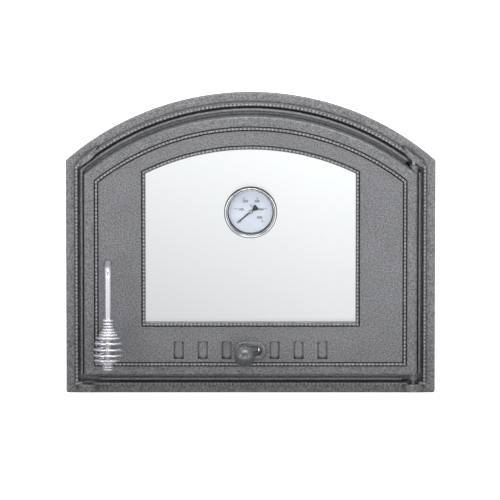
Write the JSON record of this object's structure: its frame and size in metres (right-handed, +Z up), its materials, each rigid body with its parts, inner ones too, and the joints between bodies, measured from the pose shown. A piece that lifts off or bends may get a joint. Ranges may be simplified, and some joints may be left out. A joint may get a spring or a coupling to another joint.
{
  "type": "cast iron oven door",
  "caption": "Arched glazed cast iron oven door in its masonry frame, with a dial thermometer, sliding air vents and a wire-coil handle that turns the latch.",
  "frame": {"origin": "middle of the flange's back face, at half the frame's height, where the frame bears on the oven's front wall", "axes": "+X to the right seen from the front, +Y back into the wall, +Z up"},
  "size_m": [0.485, 0.1143, 0.4099],
  "materials": {
    "bezel": "polished",
    "brass": "turned",
    "bright_steel": "nickel plated",
    "cast_iron": "sand cast, lightly oiled",
    "dial": "satin white",
    "fibre": "pressed fibre",
    "gasket": "woven glass fibre",
    "glass": "clear toughened",
    "plate_steel": "matt grey",
    "pointer": "matt black",
    "steel": "plain"
  },
  "bodies": {
    "frame_body": {"frame": "cast_iron"},
    "slide_body": {"air_slide": "plate_steel", "slide_knob": "cast_iron", "knob_washer": "steel", "knob_screw": "steel"},
    "pointer_body": {"gauge_pointer": "pointer", "gauge_spindle": "steel"},
    "handle_body": {"handle_rod": "bright_steel", "handle_grip": "bright_steel", "latch_tongue": "steel", "latch_nut": "steel"},
    "door_body": {"bimetal_coil": "brass", "clip_screws": "steel", "dial_seat": "brass", "door_leaf": "cast_iron", "gauge_bezel": "bezel", "gauge_case": "steel", "gauge_dial": "dial", "gauge_lens": "glass", "gauge_nut": "brass", "gauge_stem": "steel", "gauge_washer_front": "fibre", "gauge_washer_rear": "fibre", "glass_clips": "steel", "glass_gasket": "gasket", "glass_pane": "glass", "hinge_pin_lower": "steel", "hinge_pin_upper": "steel", "latch_washer": "steel", "rail_screws": "steel", "slide_rail_lower": "plate_steel", "slide_rail_upper": "plate_steel"}
  },
  "joints": [
    {"name": "door_hinge", "type": "hinge", "parent": "frame_body", "child": "door_body", "pos_m": [0.214, -0.012, -0.038], "axis": [0, 0, 1], "range_deg": [0, 95]},
    {"name": "handle_turn", "type": "hinge", "parent": "door_body", "child": "handle_body", "pos_m": [-0.1873, -0.023, -0.022], "axis": [0, -1, 0], "range_deg": [0, 90]},
    {"name": "air_slide_travel", "type": "slide", "parent": "door_body", "child": "slide_body", "axis": [1, 0, 0], "range_m": [0, 0.01575]},
    {"name": "pointer_turn", "type": "hinge", "parent": "door_body", "child": "pointer_body", "pos_m": [0, -0.019, 0.047], "axis": [0, 1, 0], "range_deg": [0, 260]}
  ]
}
